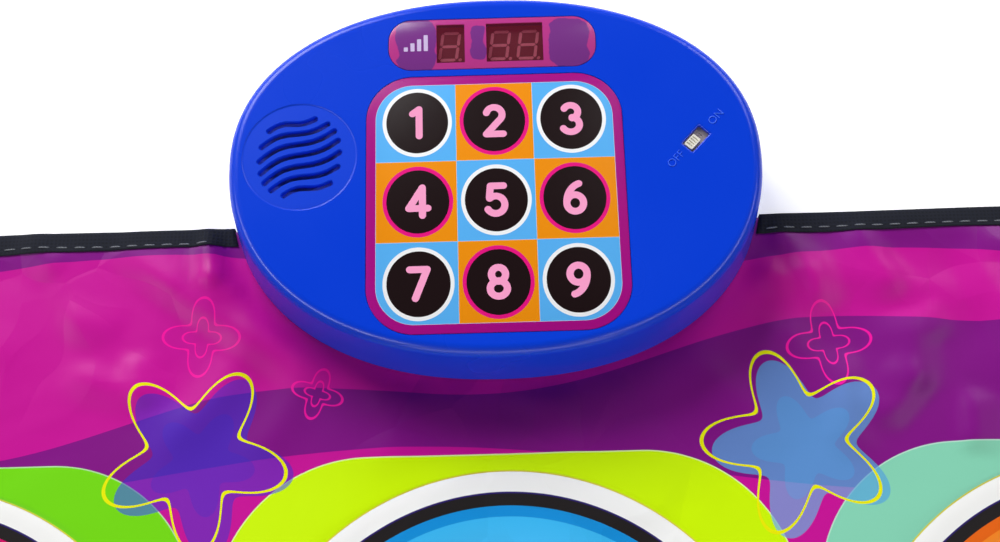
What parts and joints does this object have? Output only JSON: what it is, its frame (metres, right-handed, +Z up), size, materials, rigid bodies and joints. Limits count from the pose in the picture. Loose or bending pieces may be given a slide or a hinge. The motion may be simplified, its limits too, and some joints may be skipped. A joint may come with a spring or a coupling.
{
  "type": "electronic dance mat",
  "caption": "Square printed floor mat with round spring-back step pads and an oval control console clamped over its back edge, with number panel, display, speaker and switch.",
  "frame": {"origin": "on the floor under the middle of the whole object, mat and console together", "axes": "+X to the player's right, +Y to the back where the console is, +Z up"},
  "size_m": [0.9, 0.998, 0.0367],
  "materials": {
    "nonslip_backing": "dark dimpled non-slip PVC",
    "contact_film": "clear polyester film with printed contacts",
    "foam": "closed-cell foam sheet",
    "printed_vinyl": "printed PVC, glossy",
    "printed_pad": "printed PVC, glossy",
    "binding_tape": "woven polyester tape, sewn",
    "shell_plastic": "moulded ABS, satin gloss",
    "panel_print": "printed polycarbonate film",
    "window_plastic": "tinted clear plastic",
    "display_plastic": "epoxy-filled display module",
    "white_plastic": "moulded white plastic",
    "board": "phenolic circuit board",
    "black_plastic": "moulded epoxy",
    "speaker_steel": "pressed zinc-plated steel",
    "speaker_paper": "paper cone",
    "magnet": "ferrite",
    "knob_plastic": "moulded plastic, off-white",
    "contact_steel": "nickel-plated steel",
    "screw_steel": "zinc-plated steel",
    "wire_pvc": "PVC insulation",
    "led_epoxy": "clear epoxy",
    "cell_wrap": "printed wrap on steel",
    "foot_rubber": "moulded rubber"
  },
  "bodies": {
    "mat": {"bottom_sheet": "nonslip_backing", "lower_contact_film": "contact_film", "foam_spacer": "foam", "upper_contact_film": "contact_film", "top_sheet": "printed_vinyl", "edge_binding": "binding_tape", "film_tail": "contact_film", "top_shell": "shell_plastic", "base_shell": "shell_plastic", "number_panel": "panel_print", "display_window": "window_plastic", "display_single": "display_plastic", "display_double": "display_plastic", "light_baffle": "white_plastic", "circuit_board": "board", "main_chip": "black_plastic", "tail_connector": "white_plastic", "speaker_basket": "speaker_steel", "speaker_cone": "speaker_paper", "speaker_magnet": "magnet", "switch_housing": "speaker_steel", "battery_spring_end": "contact_steel", "battery_plate_end": "contact_steel", "battery_bridge_1": "contact_steel", "battery_bridge_2": "contact_steel", "speaker_wire": "wire_pvc", "battery_wire": "wire_pvc", "switch_wire": "wire_pvc", "indicator_led_1": "led_epoxy", "indicator_led_2": "led_epoxy", "indicator_led_3": "led_epoxy", "indicator_led_4": "led_epoxy", "indicator_led_5": "led_epoxy", "indicator_led_6": "led_epoxy", "indicator_led_7": "led_epoxy", "indicator_led_8": "led_epoxy", "indicator_led_9": "led_epoxy", "battery_1": "cell_wrap", "battery_2": "cell_wrap", "battery_3": "cell_wrap", "case_screw_1": "screw_steel", "foot_1": "foot_rubber", "case_screw_2": "screw_steel", "foot_2": "foot_rubber", "case_screw_3": "screw_steel", "foot_3": "foot_rubber", "case_screw_4": "screw_steel", "foot_4": "foot_rubber"},
    "pad_1": {"step_pad_1": "printed_pad"},
    "pad_2": {"step_pad_2": "printed_pad"},
    "pad_3": {"step_pad_3": "printed_pad"},
    "pad_4": {"step_pad_4": "printed_pad"},
    "pad_5": {"step_pad_5": "printed_pad"},
    "pad_6": {"step_pad_6": "printed_pad"},
    "pad_7": {"step_pad_7": "printed_pad"},
    "pad_8": {"step_pad_8": "printed_pad"},
    "pad_9": {"step_pad_9": "printed_pad"},
    "power_knob": {"switch_knob": "knob_plastic"},
    "battery_cover": {"battery_door": "shell_plastic", "door_screw": "screw_steel"}
  },
  "joints": [
    {"name": "pad_1_press", "type": "slide", "parent": "mat", "child": "pad_1", "axis": [0, 0, -1], "range_m": [0, 0.0012], "stiffness_N_per_m": 1500, "springref_m": -0.001},
    {"name": "pad_2_press", "type": "slide", "parent": "mat", "child": "pad_2", "axis": [0, 0, -1], "range_m": [0, 0.0012], "stiffness_N_per_m": 1500, "springref_m": -0.001},
    {"name": "pad_3_press", "type": "slide", "parent": "mat", "child": "pad_3", "axis": [0, 0, -1], "range_m": [0, 0.0012], "stiffness_N_per_m": 1500, "springref_m": -0.001},
    {"name": "pad_4_press", "type": "slide", "parent": "mat", "child": "pad_4", "axis": [0, 0, -1], "range_m": [0, 0.0012], "stiffness_N_per_m": 1500, "springref_m": -0.001},
    {"name": "pad_5_press", "type": "slide", "parent": "mat", "child": "pad_5", "axis": [0, 0, -1], "range_m": [0, 0.0012], "stiffness_N_per_m": 1500, "springref_m": -0.001},
    {"name": "pad_6_press", "type": "slide", "parent": "mat", "child": "pad_6", "axis": [0, 0, -1], "range_m": [0, 0.0012], "stiffness_N_per_m": 1500, "springref_m": -0.001},
    {"name": "pad_7_press", "type": "slide", "parent": "mat", "child": "pad_7", "axis": [0, 0, -1], "range_m": [0, 0.0012], "stiffness_N_per_m": 1500, "springref_m": -0.001},
    {"name": "pad_8_press", "type": "slide", "parent": "mat", "child": "pad_8", "axis": [0, 0, -1], "range_m": [0, 0.0012], "stiffness_N_per_m": 1500, "springref_m": -0.001},
    {"name": "pad_9_press", "type": "slide", "parent": "mat", "child": "pad_9", "axis": [0, 0, -1], "range_m": [0, 0.0012], "stiffness_N_per_m": 1500, "springref_m": -0.001},
    {"name": "power_slide", "type": "slide", "parent": "mat", "child": "power_knob", "axis": [0.6947, 0.7193, 0], "range_m": [0, 0.0046]},
    {"name": "battery_door_hinge", "type": "hinge", "parent": "mat", "child": "battery_cover", "pos_m": [0, 0.4588, 0.0028], "axis": [1, 0, 0], "range_deg": [0, 75]}
  ]
}
